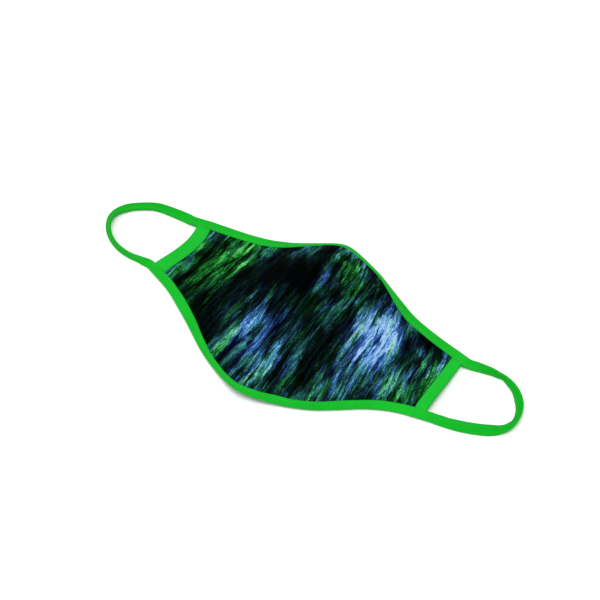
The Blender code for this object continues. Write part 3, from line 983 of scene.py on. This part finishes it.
def thread_material(name, colour):
    mat, tree, bsdf = nodes_of(name)
    g = Graph(tree)
    at = g.node("ShaderNodeTexCoord").outputs["Object"]
    ply = g.node("ShaderNodeTexWave", wave_type="BANDS",
                 bands_direction="DIAGONAL")
    g.put(ply.inputs["Vector"], at)
    ply.inputs["Scale"].default_value = 900.0
    dark = tuple(c * 0.75 for c in colour)
    tree.links.new(g.ramp(ply.outputs["Fac"], ((0.1, dark), (0.7, colour))),
                   bsdf.inputs["Base Color"])
    tree.links.new(g.curve(ply.outputs["Fac"], 0.0, 1.0, 0.62, 0.50),
                   bsdf.inputs["Roughness"])
    bump = g.node("ShaderNodeBump")
    bump.inputs["Strength"].default_value = 0.5
    bump.inputs["Distance"].default_value = 0.00005
    g.put(bump.inputs["Height"], ply.outputs["Fac"])
    tree.links.new(bump.outputs[0], bsdf.inputs["Normal"])
    return mat


# Print: soft patches, each row its centre across and along the streaks (mm),
# half width, half length and strength.
BRIGHT = ((46, 6, 24, 60, 0.90), (-72, 8, 18, 52, 0.44), (90, -12, 15, 34, 0.22),
          (-16, -36, 17, 44, 0.28), (6, 36, 16, 32, 0.24))
DARK = ((-26, 22, 26, 54, 0.95), (-105, -6, 14, 40, 0.60), (76, 36, 16, 32, 0.70),
        (-46, -46, 16, 36, 0.80), (18, -18, 13, 42, 0.45), (100, 8, 10, 32, 0.40))
BLUE = ((46, 8, 26, 68, 0.9), (-18, -38, 22, 42, 0.6))
GREEN = ((-72, 6, 30, 80, 1.1), (8, 38, 20, 34, 0.6), (92, -12, 16, 32, 0.6))
PRINT_GAIN = 1.72
PRINT_STOPS = (0.0, 0.10, 0.26, 0.40, 0.55, 0.69, 0.90)

TAPE_GREEN = (0.0072, 0.415, 0.0205)
BAND_GREEN = (0.0105, 0.445, 0.0285)


# ------------------------------------------------------------- assembly
def tape_piece(name, rings, run, sec, mat, node):
    verts, faces = tube(rings)
    faces = outward(verts, faces)
    obj = new_mesh(name, verts, faces)
    # along the tape, and round its section
    m = rings.shape[1]
    steps = np.linalg.norm(np.diff(sec, axis=1), axis=2)
    round_ = np.concatenate([np.zeros((len(run), 1)), np.cumsum(steps, 1)], 1)
    flat = np.stack([np.repeat(run[:, None], m, 1), round_], -1).reshape(-1, 2)
    add_flat(obj, flat)
    obj.data.materials.append(mat)
    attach(obj, "root")
    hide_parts(node)
    return obj


def add_thread(name, rings, run, mat, skip=1.5):
    # the leg's points run from the free edge (0) to the fold (LEG - 1)
    col = int(round(STITCH_IN / ((TAPE_WIDTH - 1.1) / (LEG - 1))))
    under = 2 * LEG + ARC - 1 - col
    pts, tans, ups = row_of(rings, col, under, run, skip)
    obj = capsules(name, pts, tans, ups)
    obj.data.materials.append(mat)
    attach(obj, "root")
    return obj


panel, outer_faces = build_panel()
panel.data.materials.append(print_material())
panel.data.materials.append(lining_material())
index = np.ones(len(panel.data.polygons), np.int32)
index[:outer_faces] = 0
panel.data.polygons.foreach_set("material_index", index)
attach(panel, "root")
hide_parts("face_panel")

tape = tape_material("edging_tape", TAPE_GREEN, (0.004, 0.0, 0.002))
band_mat = tape_material("band_tape", BAND_GREEN, (0.006, 0.0, 0.003))
thread = thread_material("sewing_thread", (0.020, 0.46, 0.045))

bindings = {}
for edge, name in (("nose", "upper_binding"), ("chin", "lower_binding")):
    rings, x, run, sec = binding_rings(edge)
    bindings[edge] = rings
    tape_piece("tape_" + name, rings, run, sec, tape, name)
    add_thread("thread_" + name, rings, run, thread)

for side in ("left", "right"):
    rings, run, sec = loop_rings(side, bindings)
    loop_mat = tape_material("loop_tape_" + side, TAPE_GREEN,
                             (0.004, 0.0, 0.002), float(run[-1]))
    tape_piece("tape_loop_" + side, rings, run, sec, loop_mat,
               "ear_loop_" + side)
    add_thread("thread_loop_" + side, rings, run, thread)
    rings, v0, sec, _ = band_rings(side)
    steps = np.linalg.norm(np.diff(rings[:, LEG + ARC // 2], axis=0), axis=1)
    run = np.concatenate([[0], np.cumsum(steps)])
    tape_piece("tape_band_" + side, rings, run, sec, band_mat,
               "side_band_" + side)
    add_thread("thread_band_" + side, rings, run, thread, 6.0)

# ------------------------------------------------------------- setting
floor_mesh = bpy.data.meshes.new("floor")
floor_mesh.from_pydata([(-3, -3, 0), (3, -3, 0), (3, 3, 0), (-3, 3, 0)], [],
                       [(0, 1, 2, 3)])
floor = bpy.data.objects.new("floor", floor_mesh)
bpy.context.scene.collection.objects.link(floor)
floor.location.z = -0.0002
fmat, ftree, fb = nodes_of("pale_floor")
fg = Graph(ftree)
grain = fg.noise(fg.node("ShaderNodeTexCoord").outputs["Object"], 8.0, 2.0)
ftree.links.new(fg.ramp(grain, ((0.3, (0.955, 0.955, 0.955)),
                                (0.7, (0.965, 0.965, 0.965)))),
                fb.inputs["Base Color"])
fb.inputs["Roughness"].default_value = 0.9
fb.inputs["Specular IOR Level"].default_value = 0.0
floor.data.materials.append(fmat)

world = bpy.data.worlds.new("studio")
bpy.context.scene.world = world
world.use_nodes = True
world.node_tree.nodes["Background"].inputs[0].default_value = (1, 1, 1, 1)
world.node_tree.nodes["Background"].inputs[1].default_value = 0.74


def area_light(name, place, aim, size, power):
    data = bpy.data.lights.new(name, "AREA")
    data.shape = "SQUARE"
    data.size = size
    data.energy = power
    obj = bpy.data.objects.new(name, data)
    bpy.context.scene.collection.objects.link(obj)
    obj.location = place
    obj.rotation_euler = (Vector(aim) - Vector(place)).to_track_quat(
        "-Z", "Y").to_euler()
    return obj


area_light("key", (0.36, -0.56, 1.85), (0, 0, 0), 0.9, 21.0)
area_light("side", (-0.85, -0.75, 1.3), (0, 0, 0), 1.0, 5.5)

scene = bpy.context.scene
scene.view_settings.view_transform = "Standard"
scene.view_settings.look = "None"
scene.view_settings.exposure = 0.0
scene.view_settings.gamma = 1.0

# ------------------------------------------------------------- camera
LENS_PX, ELEV, AZIM, FAR = 2300.0, 50.5, 34.343, 1610.0
aim = np.array([-13.474, 9.309, 0.0]) + PLACE
el, az = math.radians(ELEV), math.radians(AZIM)
back = np.array([math.cos(el) * math.sin(az), -math.cos(el) * math.cos(az),
                 math.sin(el)])
eye = aim + back * FAR
cam_data = bpy.data.cameras.new("camera")
cam_data.sensor_width = 36.0
cam_data.sensor_fit = "HORIZONTAL"
cam_data.lens = LENS_PX / 600.0 * 36.0
cam_data.clip_start = 0.05
cam = bpy.data.objects.new("camera", cam_data)
scene.collection.objects.link(cam)
cam.location = tuple(eye * MM)
cam.rotation_euler = (Vector(tuple(aim - eye))).to_track_quat(
    "-Z", "Y").to_euler()
scene.camera = cam

bpy.context.view_layer.update()
